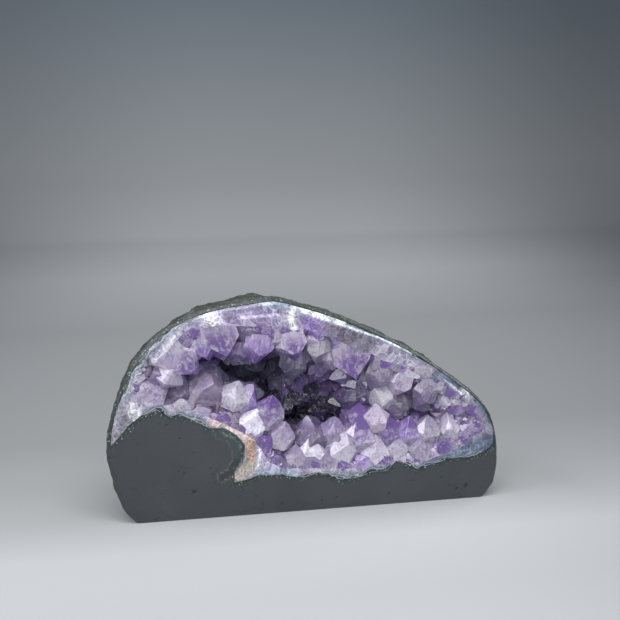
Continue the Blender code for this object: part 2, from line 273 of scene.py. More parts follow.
def diced(builder, faces, axis, size, first, last):
    """Cuts the faces along planes of a grid, from the middle one out, and returns the pieces."""
    if first > last or not faces:
        return faces
    plane = (first + last) // 2
    normal = Vector((axis == 0, 0, axis == 2))
    around = set(faces)
    for face in faces:
        around.update(face.edges, face.verts)
    cut = bmesh.ops.bisect_plane(builder, geom=list(around), plane_co=normal * plane * size,
                                 plane_no=normal, dist=1e-7)
    sides = ([], [])
    for piece in cut["geom"]:
        if isinstance(piece, bmesh.types.BMFace):
            sides[piece.calc_center_median()[axis] > plane * size].append(piece)
    return (diced(builder, sides[0], axis, size, first, plane - 1)
            + diced(builder, sides[1], axis, size, plane + 1, last))


def grid_cut(builder, faces, size):
    """Cuts flat faces into squares, so that they can carry a fine pattern."""
    for axis in (0, 2):
        places = [v.co[axis] for f in faces for v in f.verts]
        faces = diced(builder, faces, axis, size, math.ceil(min(places) / size),
                      math.floor(max(places) / size))
    builder.normal_update()


def in_face(normal, middle):
    return normal.y < -0.999 and abs(middle.y - face_y) < 0.02 * MM


def in_base(normal, middle):
    return normal.z < -0.99 and middle.z < 0.1 * MM


STAIN_DEPTH = 14 * MM
PLAIN = (0.4, 0.4, 0.4)


def stained(mesh, stains):
    """Stores a colour and its strength at each corner of the mesh, from soft-edged strokes.

    Each stain is its colour, its strength, its half width in mm and its line (across, up)."""
    values = []
    for corner in mesh.vertices:
        front = corner.co.y < face_y + STAIN_DEPTH
        values.extend(stain_at(corner.co, stains) if front else (*PLAIN, 0.0))
    layer = mesh.attributes.new("stain", "FLOAT_COLOR", "POINT")
    layer.data.foreach_set("color", values)


def stain_at(place, stains):
    """The colour and the strength of all the stains together at a place."""
    spot = Vector((place.x, place.z)) / MM
    fray = noise.noise(place * 260) * 0.35 + noise.noise(place * 700) * 0.3
    colour, strength = Vector(PLAIN), 0.0
    for paint, most, width, line in stains:
        reach = width * 1.6
        if (min(p[0] for p in line) - reach > spot.x or max(p[0] for p in line) + reach < spot.x
                or min(p[1] for p in line) - reach > spot.y
                or max(p[1] for p in line) + reach < spot.y):
            continue
        points = [Vector(p) for p in line]
        far = math.inf
        for a, b in zip(points, points[1:]):
            part = (spot - a).dot(b - a) / max((b - a).length_squared, 1e-9)
            far = min(far, (spot - a.lerp(b, min(max(part, 0), 1))).length)
        share = min(max(1.5 - far / width + fray, 0.0), 1.0) * most
        if share > 0:
            colour = colour.lerp(Vector(paint), share / max(share + strength * (1 - share), 1e-6))
            strength = share + strength * (1 - share)
    return (*colour, strength)


shell_solid = merged("basalt_shell")
crust_solid = merged("amethyst_crust")
rock_tree = BVHTree.FromBMesh(shell_solid)
quartz_tree = BVHTree.FromBMesh(crust_solid)
BACK_CELL = 1.7 * MM
BORDER_CELL = 1.2 * MM
POLISHED_EDGE = 2.5 * MM
HIDDEN_REACH = 1.0 * MM


def is_natural(face):
    """True on the shell's faces that are neither sawn nor against the quartz."""
    middle = face.calc_center_median()
    return not (in_face(face.normal, middle) or in_base(face.normal, middle)
                or quartz_tree.ray_cast(middle, face.normal, HIDDEN_REACH)[0])


grid_cut(shell_solid, [f for f in shell_solid.faces
                       if in_face(f.normal, f.calc_center_median())], BORDER_CELL)
for _ in range(4):
    natural = {e for f in shell_solid.faces if is_natural(f) for e in f.edges}
    bmesh.ops.subdivide_edges(shell_solid, edges=[e for e in natural
                                                  if e.calc_length() > BACK_CELL], cuts=1)
    bmesh.ops.triangulate(shell_solid, faces=[f for f in shell_solid.faces
                                              if len(f.verts) > 4])
    shell_solid.normal_update()
skin = {v for f in shell_solid.faces if is_natural(f) for v in f.verts}
skin -= {v for f in shell_solid.faces if not is_natural(f) for v in f.verts}
skin = list(skin)
for _ in range(8):
    bmesh.ops.smooth_vert(shell_solid, verts=skin, factor=0.5, use_axis_x=True,
                          use_axis_y=True, use_axis_z=True)
shell_solid.normal_update()
moves = []
for vert in skin:
    spot = vert.co
    rough = min(max((spot.y - face_y - POLISHED_EDGE) / (3.0 * MM), 0.0), 1.0)
    foot = min(spot.z / (2 * MM), 1.0)
    height = (noise.noise(spot * 110) * 0.9 + noise.noise(spot * 300) * 0.55
              + noise.noise(spot * 800 + Vector((5, 1, 3))) * 0.3 - 0.35)
    moves.append(vert.normal * height * MM * (0.12 + 0.88 * rough) * foot)
for vert, move in zip(skin, moves):
    vert.co += move
    for k in range(3):
        vert.co[k] = min(max(vert.co[k], cad_box[0][k]), cad_box[1][k])
shell = new_piece("basalt_geode_shell", shell_solid)
shell_solid.free()
to_quartz = shell.data.attributes.new("to_quartz", "FLOAT", "POINT")
to_quartz.data.foreach_set("value", [quartz_tree.find_nearest(v.co)[3] / MM
                                     for v in shell.data.vertices])

# Celadonite, a dark green mineral, and pale crumbs in the rock beside the quartz.
ROCK_STAINS = [
    ((0.030, 0.055, 0.052), 0.75, 2.4, [(-45, 42.5), (-39, 40), (-35.5, 34), (-35.5, 29)]),
    ((0.24, 0.29, 0.28), 0.7, 0.6, [(-43, 42), (-39, 40), (-35, 37), (-33.5, 30)]),
    ((0.02, 0.025, 0.025), 0.9, 1.6, [(-37, 27), (-40, 22), (-44, 20)]),
]
stained(shell.data, ROCK_STAINS)

basalt, tree, shader, place = new_finish("satin_basalt")
spot = node(tree, "SeparateXYZ", {"Vector": place})
behind = math_node(tree, "SUBTRACT", spot.outputs["Y"], face_y)
sway = math_node(tree, "MULTIPLY", mottle(tree, place, 4 * MM), 2.0 * MM)
rough = between(tree, math_node(tree, "ADD", behind, sway), 3.0 * MM, 5.0 * MM)
grain = mottle(tree, place, 1.1 * MM, 4.0)
cloud = mottle(tree, place, 35 * MM)
polished = ramp(tree, math_node(tree, "ADD", math_node(tree, "MULTIPLY", grain, 0.35),
                                math_node(tree, "MULTIPLY", cloud, 0.65)),
                [(0.3, (0.025, 0.028, 0.033)), (0.7, (0.045, 0.049, 0.057))])
natural = ramp(tree, mottle(tree, place, 6 * MM, 9.0),
               [(0.25, (0.010, 0.012, 0.012)), (0.45, (0.026, 0.031, 0.028)),
                (0.58, (0.055, 0.059, 0.052)), (0.75, (0.13, 0.13, 0.12))])

# Vesicles: small gas bubbles that the natural skin broke through.
bubbles = node(tree, "TexVoronoi", {"Vector": place, "Scale": 1 / (4.5 * MM)})
hollow = math_node(tree, "ADD", bubbles.outputs["Distance"], math_node(
    tree, "MULTIPLY", mottle(tree, place, 1.5 * MM), 0.4))
hollow = math_node(tree, "MULTIPLY", between(tree, hollow, 0.62, 0.50), math_node(
    tree, "GREATER_THAN", node(tree, "SeparateColor", {
        "Color": bubbles.outputs["Color"]}).outputs[0], 0.55))
natural = blended(tree, math_node(tree, "MULTIPLY", hollow, 0.7), natural,
                  (0.010, 0.012, 0.012))
colour = blended(tree, rough, polished, natural)

# A few small pits and hairline cracks in the polished rock.
flat_place = node(tree, "CombineXYZ", {"X": spot.outputs["X"], "Y": spot.outputs["Z"]})
cells = node(tree, "TexVoronoi", {"Vector": flat_place.outputs["Vector"],
                                  "Scale": 1 / (7 * MM)}, voronoi_dimensions="2D")
picked = node(tree, "SeparateColor", {"Color": cells.outputs["Color"]})
chosen = math_node(tree, "GREATER_THAN", picked.outputs[0], 0.70)
ragged = math_node(tree, "ADD", cells.outputs["Distance"], math_node(
    tree, "MULTIPLY", mottle(tree, place, 1.2 * MM), 0.30))
pit_size = math_node(tree, "ADD", math_node(tree, "MULTIPLY", math_node(
    tree, "POWER", picked.outputs[1], 3.0), 0.20), 0.155)
pits = math_node(tree, "MULTIPLY", chosen, between(
    tree, math_node(tree, "SUBTRACT", pit_size, ragged), -0.02, 0.04))
colour = blended(tree, math_node(tree, "MULTIPLY", pits, 0.7), colour, (0.009, 0.010, 0.012))
stretched = node(tree, "Mapping", {"Vector": place, "Scale": (28.0, 28.0, 90.0),
                                   "Rotation": (0.0, 0.25, 0.0)})
wave = node(tree, "TexNoise", {"Vector": stretched.outputs["Vector"], "Scale": 1.0,
                               "Detail": 5.0}).outputs["Fac"]
crack = math_node(tree, "ABSOLUTE", math_node(tree, "SUBTRACT", wave, 0.5))
crack = math_node(tree, "MULTIPLY", between(tree, crack, 0.006, 0.001),
                  between(tree, mottle(tree, place, 14 * MM), 0.50, 0.58))
colour = blended(tree, math_node(tree, "MULTIPLY", crack, 0.8), colour, (0.006, 0.007, 0.009))

# The stains, and the dark border with pale crumbs where the rock meets the quartz.
stain = node(tree, "Attribute", attribute_name="stain")
colour = blended(tree, stain.outputs["Alpha"], colour, stain.outputs["Color"])
near = node(tree, "Attribute", attribute_name="to_quartz").outputs["Fac"]
crumb_noise = mottle(tree, place, 0.9 * MM, 2.0)
border = math_node(tree, "SUBTRACT", 1.0, between(tree, math_node(
    tree, "ADD", near, math_node(tree, "MULTIPLY", mottle(tree, place, 4 * MM), 5.0)),
    3.5, 5.4))
dark_border = blended(tree, crumb_noise, (0.008, 0.014, 0.014), (0.035, 0.052, 0.050))
colour = blended(tree, border, colour, dark_border)
crumbs = math_node(tree, "MULTIPLY", border, between(tree, crumb_noise, 0.60, 0.70))
colour = blended(tree, crumbs, colour, (0.26, 0.30, 0.30))
tree.links.new(colour, shader.inputs["Base Color"])
gloss = math_node(tree, "ADD", math_node(tree, "MULTIPLY", rough, 0.35),
                  math_node(tree, "MULTIPLY", grain, 0.25))
tree.links.new(math_node(tree, "ADD", gloss, 0.32), shader.inputs["Roughness"])
relief = math_node(tree, "SUBTRACT", math_node(tree, "MULTIPLY", grain, 0.35),
                   math_node(tree, "MULTIPLY", pits, 1.5))
relief = math_node(tree, "SUBTRACT", relief, math_node(
    tree, "MULTIPLY", math_node(tree, "MULTIPLY", hollow, rough), 1.5))
relief = math_node(tree, "ADD", relief, math_node(
    tree, "MULTIPLY", math_node(tree, "MULTIPLY", mottle(tree, place, 4 * MM, 6.0), rough),
    4.0))
bump = node(tree, "Bump", {"Height": relief, "Distance": 0.25 * MM, "Strength": 0.6})
tree.links.new(bump.outputs["Normal"], shader.inputs["Normal"])
shell.data.materials.append(basalt)
bpy.ops.object.select_all(action="DESELECT")
shell.select_set(True)
bpy.context.view_layer.objects.active = shell
bpy.ops.object.shade_smooth_by_angle(angle=math.radians(42))
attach(shell, "root")
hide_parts("basalt_shell")


# The amethyst crust: quartz that grew from the bubble's wall inwards. Its outer part is
# milky and was sawn and polished with the rock, and its crystals end in purple points
# inside the hollow. All of it is one grown mass, so the crystals are joined to the wall.
#
# Each line of a large crystal gives its point and its root (across, up, behind the face),
# its width over the flats, its turn about its own axis in degrees, and its look.
LARGE_CRYSTALS = [
    ((-65, 72, 4), (-75, 92, 2), 17, 10, "lilac"),
    ((-66, 68, 9), (-86, 78, 5), 12, 35, "purple"),
    ((-54, 77, 7), (-59, 95, 4), 11, 5, "lilac"),
    ((-42, 77, 6), (-47, 102, 3), 20, 20, "cored"),
    ((-33, 72, 14), (-34, 95, 9), 14, 50, "purple"),
    ((-26, 74, 7), (-23, 97, 5), 15, 0, "purple"),
    ((-14, 80, 6), (-14, 98, 3), 12, 30, "lilac"),
    ((-6, 75, 5), (-11, 98, 3), 15, 15, "cored"),
    ((-3, 67, 16), (-4, 92, 10), 12, 40, "smoky"),
    ((5, 72, 8), (7, 95, 4), 13, 25, "white"),
    ((14, 68, 10), (12, 93, 6), 12, 5, "lilac"),
    ((25, 64, 4), (16, 91, 3), 19, 30, "cored"),
    ((34, 57, 8), (42, 82, 4), 14, 12, "lilac"),
    ((44, 53, 7), (54, 76, 4), 14, 40, "lilac"),
    ((56, 48, 7), (68, 68, 4), 13, 20, "smoky"),
    ((67, 47, 9), (80, 58, 5), 11, 50, "white"),
    ((-69, 65, 7), (-90, 54, 4), 17, 15, "lilac"),
    ((-64, 58, 12), (-82, 44, 10), 14, 40, "smoky"),
    ((-47, 66, 2), (-52, 52, 32), 24, 22, "bright"),
    ((-60, 68, 12), (-66, 50, 14), 14, 45, "smoky"),
    ((-34, 66, 5), (-40, 45, 12), 13, 20, "white"),
    ((-26, 63, 9), (-36, 42, 16), 14, 50, "purple"),
    ((-18, 58, 4), (-22, 38, 10), 15, 28, "cored"),
    ((-26, 52, 2), (-32, 34, 8), 13, 10, "milk"),
    ((-12, 45, 2), (-16, 27, 7), 12, 35, "lilac"),
    ((1, 46, 8), (4, 22, 14), 18, 15, "smoky"),
    ((2, 37, 4), (2, 15, 10), 15, 40, "pale"),
    ((-6, 33, 3), (-6, 12, 8), 12, 10, "lilac"),
    ((15, 45, 7), (13, 22, 12), 14, 45, "smoky"),
    ((18, 38, 3), (17, 14, 11), 16, 5, "white"),
    ((10, 31, 2), (9, 12, 8), 12, 30, "lilac"),
    ((35, 35, 4), (34, 14, 10), 15, 45, "white"),
    ((47, 35, 4), (46, 14, 9), 13, 12, "white"),
    ((59, 35, 3), (57, 14, 9), 14, 38, "white"),
    ((28, 45, 5), (27, 22, 13), 17, 32, "cored"),
    ((29, 50, 11), (29, 28, 16), 13, 5, "purple"),
    ((35, 51, 5), (38, 27, 12), 13, 50, "rosy"),
    ((34, 58, 5), (50, 47, 18), 13, 20, "milk"),
    ((43, 43, 5), (42, 22, 12), 13, 40, "purple"),
    ((53, 43, 5), (50, 21, 11), 14, 15, "purple"),
    ((63, 43, 5), (62, 22, 11), 14, 30, "white"),
    ((73, 44, 5), (78, 24, 10), 13, 0, "white"),
    # Painted shade: these crystals deep in the hollow take the darker deep look in place of its
    # shade.
    ((-8, 50, 24), (10, 64, 38), 18, 20, "deep"),
    ((13, 42, 26), (9, 72, 40), 14, 40, "deep"),
    ((2, 46, 28), (9, 64, 42), 14, 5, "deep"),
    ((20, 46, 22), (32, 64, 34), 14, 25, "deep"),
    ((8, 62, 20), (14, 82, 34), 16, 10, "deep"),
    ((23, 51, 15), (38, 62, 26), 15, 30, "smoky"),
    ((-55, 71, 3), (-68, 84, 6), 14, 25, "cored"),
    ((-62, 66, 4), (-74, 74, 8), 13, 50, "lilac"),
    ((-49, 77, 4), (-55, 92, 5), 12, 15, "purple"),
]

# Each look has its body colour and how strongly its purple core shows.
LOOKS = {
    "purple": ((0.62, 0.47, 0.88), 0.8),
    "cored": ((0.86, 0.76, 0.98), 0.9),
    "bright": ((1.0, 0.92, 1.0), 0.6),
    "lilac": ((0.82, 0.74, 0.92), 0.4),
    "white": ((0.92, 0.88, 0.98), 0.3),
    "milk": ((0.54, 0.52, 0.58), 0.0),
    "pale": ((0.50, 0.48, 0.55), 0.0),
    "rosy": ((0.80, 0.70, 0.85), 0.2),
    "smoky": ((0.46, 0.40, 0.58), 0.3),
    # The last three looks are painted shade, for crystals deep in the hollow.
    "deep": ((0.30, 0.25, 0.44), 0.4),
    "dim_shade": ((0.26, 0.26, 0.38), 0.0),
    "dark": ((0.07, 0.07, 0.11), 0.0),
}

# Stains of the quartz mass: agate and iron stains by the rock, milky veins, smoky
# patches, and three pale lines along the polished edge that are painted highlights.
WHITE, BLUE, SMOKE = (0.68, 0.67, 0.72), (0.075, 0.10, 0.155), (0.11, 0.10, 0.14)
QUARTZ_STAINS_AND_HIGHLIGHTS = [
    ((0.24, 0.19, 0.33), 0.6, 12.0, [(-45, 92), (-25, 95)]),
    ((0.24, 0.16, 0.42), 0.7, 6.0, [(1, 92), (6, 84)]),
    (SMOKE, 0.85, 6.0, [(12, 89), (28, 82)]),
    ((0.20, 0.18, 0.22), 0.7, 5.0, [(58, 66), (72, 56)]),
    ((0.20, 0.19, 0.24), 0.7, 7.0, [(84, 44), (92, 33)]),
    ((0.58, 0.54, 0.64), 0.6, 8.0, [(56, 36), (74, 35)]),
    ((0.66, 0.63, 0.71), 0.75, 7.5, [(-4, 28), (4, 27)]),
    ((0.40, 0.34, 0.48), 0.6, 8.0, [(-20, 34), (-18, 28)]),
    ((0.20, 0.16, 0.24), 0.85, 2.4, [(-3, 23), (-2.5, 20)]),
    ((0.22, 0.21, 0.25), 0.85, 6.5, [(-90, 54), (-96, 42)]),
    (WHITE, 0.85, 2.4, [(-87, 57), (-84, 50)]),
    # Painted highlight: the streak of light along the polished edge on the upper left.
    (WHITE, 0.8, 0.9, [(-78, 76), (-64, 93)]),
    (WHITE, 0.8, 3.8, [(-50, 99), (-47, 97)]),
    (WHITE, 0.8, 1.4, [(-47, 95), (-45, 87)]),
    # Painted highlight: a pale line of light along the polished edge at the top.
    ((0.60, 0.56, 0.72), 0.8, 0.7, [(-34, 98), (-13, 98.5)]),
    ((0.36, 0.43, 0.53), 0.8, 2.6, [(-22, 105), (-13, 104.5)]),
    ((0.70, 0.73, 0.73), 0.85, 1.4, [(-7, 103), (-10, 97), (-7.5, 90)]),
    ((0.55, 0.60, 0.58), 0.9, 2.0, [(-3, 101), (8, 97), (17, 94)]),
    # Painted highlight: a pale line of light along the polished edge down the right slope.
    ((0.75, 0.80, 0.86), 0.8, 0.5, [(-4, 99.4), (15, 92.5), (35, 85), (57.5, 74.2)]),
    (BLUE, 0.9, 4.2, [(67, 63), (75, 58)]),
    ((0.20, 0.30, 0.40), 0.9, 1.2, [(69, 62), (71, 61.5)]),
    (BLUE, 0.9, 3.6, [(88, 52), (92, 46)]),
    (WHITE, 0.85, 1.8, [(84, 56), (75, 48)]),
    (BLUE, 0.9, 3.8, [(63, 25.5), (75, 25.5), (86, 26.5), (95, 29)]),
    ((0.17, 0.21, 0.28), 0.7, 1.0, [(70, 25), (84, 25), (92, 28)]),
    ((0.35, 0.20, 0.27), 0.8, 1.8, [(54, 27), (60, 27)]),
    ((0.50, 0.39, 0.39), 0.95, 3.6, [(-46, 47.5), (-38, 44), (-30, 38)]),
    ((0.42, 0.27, 0.18), 0.95, 2.0, [(-30, 36), (-29.5, 28)]),
    ((0.38, 0.33, 0.29), 0.95, 3.2, [(-30.5, 24), (-36, 20), (-42, 18)]),
    (WHITE, 0.8, 0.8, [(-26, 40), (-25, 30), (-27, 22)]),
    ((0.25, 0.29, 0.38), 0.8, 2.0, [(-24, 21.5), (-14, 21), (-6, 18.5)]),
]

# A quartz crystal's point faces lean this far from its long axis. The crystals are turned
# copies of a few kinds, whose edges are worn by a share of their width.
POINT_LEAN = math.radians(38.2)
KINDS = 8
EDGE_WEAR = 0.012

chance = random.Random(12)


def model_crystal(name, offsets):
    """One crystal, a flat across wide with its point at the origin: a prism cut to six faces."""
    bpy.ops.mesh.primitive_cylinder_add(vertices=6, radius=1 / math.sqrt(3), depth=4.0,
                                        location=(0, 0, -1.0), end_fill_type="NGON")
    crystal = bpy.context.object
    crystal.name = name
    bpy.ops.object.transform_apply(location=True)
    bpy.ops.object.mode_set(mode="EDIT")
    for side in range(6):
        heading = math.radians(side * 60)
        slope = Vector((math.cos(POINT_LEAN) * math.cos(heading),
                        math.cos(POINT_LEAN) * math.sin(heading), math.sin(POINT_LEAN)))
        bpy.ops.mesh.select_all(action="SELECT")
        bpy.ops.mesh.bisect(plane_co=slope * offsets[side], plane_no=slope, use_fill=True,
                            clear_outer=True)
    bpy.ops.mesh.select_all(action="SELECT")
    bpy.ops.mesh.remove_doubles(threshold=1e-4)
    bpy.ops.mesh.normals_make_consistent(inside=False)
    bpy.ops.mesh.bevel(offset=EDGE_WEAR, offset_type="OFFSET", segments=1)
    bpy.ops.object.mode_set(mode="OBJECT")
    return crystal


def point_offsets():
    """Three large faces meet at the tip and three smaller ones lie between them."""
    large = [chance.uniform(0.0, 0.05) for _ in range(3)]
    small = [chance.uniform(0.04, 0.13) for _ in range(3)]
    return [value for pair in zip(large, small) for value in pair]


bpy.ops.object.select_all(action="DESELECT")
masters = [model_crystal(f"crystal_{k}", point_offsets()) for k in range(KINDS)]
crystals = bpy.data.collections.new("crystals")
bpy.context.scene.collection.children.link(crystals)
SAWN_BACK = 0.06 * MM
FOOT_TAPER = 0.85
LARGE_SWELL = 1.02
# A crystal is no longer than this for its width, so that its root stays inside the mass.
ROOT_SHARE, ROOT_EXTRA = 0.9, 2 * MM
grown = []


def grow(tip, root, width, turn, look):
    """Copies a crystal to its place, and cuts it where it would pass the sawn face."""
    number = len(grown) + 1
    axis = tip - root
    axis *= min(1.0, (ROOT_SHARE * width + ROOT_EXTRA) / axis.length)
    mesh = masters[number % KINDS].data.copy()
    for corner in mesh.vertices:
        if corner.co.z < -1.5:
            corner.co.x *= FOOT_TAPER
            corner.co.y *= FOOT_TAPER
            corner.co.z = -axis.length / width
    frame_of = (Matrix.Translation(tip) @ axis.to_track_quat("Z", "Y").to_matrix().to_4x4()
                @ Matrix.Rotation(turn, 4, "Z") @ Matrix.Scale(width, 4))
    mesh.transform(frame_of)
    if min(v.co.y for v in mesh.vertices) < face_y + SAWN_BACK:
        builder = bmesh.new()
        builder.from_mesh(mesh)
        sawn = bmesh.ops.bisect_plane(builder, geom=builder.verts[:] + builder.edges[:]
                                      + builder.faces[:],
                                      plane_co=(0, face_y + SAWN_BACK, 0),
                                      plane_no=(0, -1, 0), clear_outer=True)
        bmesh.ops.holes_fill(builder, edges=[e for e in sawn["geom_cut"]
                                             if isinstance(e, bmesh.types.BMEdge)])
        builder.to_mesh(mesh)
        builder.free()
    mark = mesh.attributes.new("crystal", "INT", "FACE")
    mark.data.foreach_set("value", [number] * len(mesh.polygons))
    crystals.objects.link(bpy.data.objects.new("crystal", mesh))
    grown.append((frame_of.inverted(), look))


for tip, root, width, turn, look in LARGE_CRYSTALS:
    places = [Vector((p[0], p[2], p[1])) * MM + Vector((0, face_y, 0)) for p in (tip, root)]
    grow(places[0], places[1], width * LARGE_SWELL * MM, math.radians(turn), look)

# Smaller crystals crowd between the large ones, all over the wall of the hollow.
HOLLOW_MIDDLE = Vector((-0.003, face_y + 0.020, 0.056))
STONE_MIDDLE = Vector((0.0, 0.0, 0.046))
EDGE_REACH = 7.5 * MM
EDGE_DEPTH = 5.5 * MM


def on_edge(normal, middle):
    """True on the quartz's part of the stone's rounded edge."""
    outward = Vector((middle.x, 0, middle.z)) - STONE_MIDDLE
    return (middle.y < face_y + EDGE_DEPTH and normal.y < -0.1 and normal.dot(outward) > 0
            and rock_tree.find_nearest(middle)[3] < EDGE_REACH)


# Towards the hollow the mass opens like a funnel below the sawn face: its outline on the
# face (across, up), and its size against that outline at each depth.
FUNNEL_RIM = [
    (-91, 64), (-84, 76), (-73, 86), (-58, 92), (-44, 94), (-30, 92), (-14, 91), (0, 89),
    (15, 83), (31, 75), (47, 69), (63, 61), (77, 54), (87, 44), (86, 34), (74, 27), (58, 22),
    (43, 21.5), (28, 21), (13, 22), (0, 22), (-11, 23), (-20, 27), (-26, 36), (-32, 43),
    (-45, 50), (-60, 55.5), (-74, 58), (-85, 60),
]
FUNNEL_STEPS = [(-1.0, 1.05), (0.4, 1.03), (3.0, 0.94), (6.5, 0.84), (12.0, 0.62)]
RIM_CUTS = 3
RIM_FRAY = 2.2
FRAY_SCALE = 0.37
# Without a seed the noise vectors take theirs from the clock and differ in every run.
noise.seed_set(5)
rim = []
for (x, z), (next_x, next_z) in zip(FUNNEL_RIM, FUNNEL_RIM[1:] + FUNNEL_RIM[:1]):
    for cut in range(RIM_CUTS):
        spot = Vector((x, 0, z)).lerp(Vector((next_x, 0, next_z)), cut / RIM_CUTS)
        fray = noise.noise_vector(spot * FRAY_SCALE) * RIM_FRAY
        rim.append((spot.x + fray.x, spot.z + fray.z))
funnel_builder = bmesh.new()
before = None
for depth, size in FUNNEL_STEPS:
    loop = [funnel_builder.verts.new((
        (HOLLOW_MIDDLE.x / MM + (x - HOLLOW_MIDDLE.x / MM) * size) * MM, face_y + depth * MM,
        (HOLLOW_MIDDLE.z / MM + (z - HOLLOW_MIDDLE.z / MM) * size) * MM))
        for x, z in rim]
    around = list(zip(loop, loop[1:] + loop[:1]))
    if before is None:
        funnel_builder.faces.new(loop)
    else:
        for (a, b), (c, d) in zip(before, around):
            funnel_builder.faces.new((a, b, d, c))
    before = around
funnel_builder.faces.new(loop)
bmesh.ops.recalc_face_normals(funnel_builder, faces=funnel_builder.faces)
bmesh.ops.triangulate(funnel_builder, faces=funnel_builder.faces)


def combined(piece, operation, other):
    """The mesh of a piece after a Boolean with an object or with a whole collection."""
    change = piece.modifiers.new("change", "BOOLEAN")
    change.operation, change.solver = operation, "MANIFOLD"
    if isinstance(other, bpy.types.Collection):
        change.operand_type, change.collection = "COLLECTION", other
    else:
        change.object = other
    depsgraph = bpy.context.evaluated_depsgraph_get()
    mesh = bpy.data.meshes.new_from_object(piece.evaluated_get(depsgraph))
    piece.modifiers.clear()
    piece.data = mesh
    return mesh


crust = new_piece("amethyst_crystal_crust", crust_solid)
funnel = new_piece("funnel", funnel_builder)
combined(crust, "DIFFERENCE", funnel)
bpy.data.objects.remove(funnel)
crust_solid.clear()
crust_solid.from_mesh(crust.data)
bmesh.ops.triangulate(crust_solid, faces=crust_solid.faces)
crust_solid.normal_update()
bpy.data.objects.remove(crust)

# The wall of the hollow, where small crystals can grow: all but the sawn ring and the skin
# against the rock.
SKIN_DEPTH = 0.8 * MM
wall_faces, areas = [], []
for face in crust_solid.faces:
    middle = face.calc_center_median()
    if (in_face(face.normal, middle) or on_edge(face.normal, middle)
            or rock_tree.find_nearest(middle)[3] < SKIN_DEPTH):
        continue
    wall_faces.append(face)
    areas.append(face.calc_area())

large = list(grown)


def large_at(place):
    """The large crystal whose upper part the place is on: its inverse matrix and its look.

    The matrix measures in the crystal's own widths, down from its point."""
    for inverse, look in large:
        local = inverse @ place
        if -0.8 < local.z < 0.1 and math.hypot(local.x, local.y) < 0.6:
            return inverse, look
    return None, None


# Round these places (across, up) the photo shows only the dark of the hollow, so the crystals
# there are painted dark as painted shade. Each has how far the painted shade reaches and its
# look.
PAINTED_SHADE_SPOTS = [((-31, 71), 17, "dim_shade"), ((-10, 64), 9, "dim_shade"), ((2, 44), 13, "dark"),
              ((14, 47), 9, "dark")]


# Painted shade: a crystal deep in the hollow is painted darker, darkest round the spots above.
def painted_shade_look(place):
    for (x, z), reach, look in PAINTED_SHADE_SPOTS:
        if math.hypot(place.x / MM - x, place.z / MM - z) < reach:
            return look
    return "deep"


# Each size of small crystal: its width, how far apart they stand, and how deep they grow.
# Of the large crystals only the white ones carry bundles of narrow ones.
SMALL = [(10.5, 8.5, 60), (6.5, 4.8, 24), (3.6, 2.5, 13)]
BUNDLE_WIDTH = 7
BUNDLE_LOOKS = ["white", "white", "lilac", "cored"]
SMALL_LOOKS = {"purple": 3, "lilac": 3, "white": 2, "smoky": 1.5, "cored": 3}
TRIES = 9000
DEEP = 15
# How far they lean at random, how much their width varies and swells in the deep, and how
# far they stand out of the wall and reach into it, in their own widths.
LEAN = 0.4
WIDTHS, DEEP_SWELL = (0.7, 1.25), 1.3
HEIGHTS, ROOT = (0.3, 0.6), 0.7
for width, spacing, reach in SMALL:
    taken = []
    for face in chance.choices(wall_faces, areas, k=TRIES):
        a, b, c = (v.co for v in face.verts[:3])
        u, v = chance.random(), chance.random()
        if u + v > 1:
            u, v = 1 - u, 1 - v
        place = a + (b - a) * u + (c - a) * v
        depth = (place.y - face_y) / MM
        if depth > reach or any((place - other).length < spacing * MM for other in taken):
            continue
        host, host_look = large_at(place) if depth < DEEP else (None, None)
        if host and (host_look != "white" or width > BUNDLE_WIDTH):
            continue
        taken.append(place)
        lean = Vector([chance.uniform(-LEAN, LEAN) for _ in range(3)])
        inward = (HOLLOW_MIDDLE - place).normalized()
        heading = (face.normal * 0.8 + inward + lean).normalized()
        if host:
            axis = host.inverted().col[2].to_3d().normalized()
            heading = (axis * 1.6 + lean + face.normal * 0.3).normalized()
        size = width * chance.uniform(*WIDTHS) * MM * (DEEP_SWELL if depth > DEEP else 1.0)
        look = chance.choices(list(SMALL_LOOKS), SMALL_LOOKS.values())[0]
        if host:
            look = chance.choice(BUNDLE_LOOKS)
        # Painted shade: small crystals deep in the hollow are painted darker.
        if depth > DEEP:
            look = painted_shade_look(place)
        grow(place + heading * size * chance.uniform(*HEIGHTS), place - heading * size * ROOT,
             size, chance.uniform(0, math.pi / 3), look)

# The sawn ring and its rounded edge are cut fine enough to carry their bands and stains.
RING_CELL = 0.8 * MM
RING, CLEAR, MILKY, LINING = range(4)


def on_ring(mark, normal, middle):
    return mark == 0 and (in_face(normal, middle) or on_edge(normal, middle))


grid_cut(crust_solid, [f for f in crust_solid.faces
                       if on_ring(0, f.normal, f.calc_center_median())], RING_CELL)
crust = new_piece("amethyst_crystal_crust", crust_solid)
crust.data.attributes.new("crystal", "INT", "FACE")

# The crystals end at the stone's own outline: the mass is kept inside a hull that passes a
# hair above its polished skin, so only crystals are cut.
SKIN = 1.0004
HULL_DEPTH = 20 * MM
HULL_BACK = 50 * MM
hull_builder = bmesh.new()
for vert in crust.data.vertices:
    if vert.co.y < face_y + HULL_DEPTH:
        hull_builder.verts.new(vert.co * SKIN + Vector((0, 0, HOLLOW_MIDDLE.z)) * (1 - SKIN))
        hull_builder.verts.new((vert.co.x, HULL_BACK, vert.co.z))
outer = bmesh.ops.convex_hull(hull_builder, input=hull_builder.verts)
bmesh.ops.delete(hull_builder, geom=list({
    v for v in outer["geom_interior"] + outer["geom_unused"]
    if isinstance(v, bmesh.types.BMVert)}), context="VERTS")
bmesh.ops.recalc_face_normals(hull_builder, faces=hull_builder.faces)
hull = new_piece("hull", hull_builder)
combined(crust, "UNION", crystals)
joined = combined(crust, "INTERSECT", hull)
bpy.data.objects.remove(hull)
for spare in list(crystals.objects) + masters:
    bpy.data.objects.remove(spare, do_unlink=True)

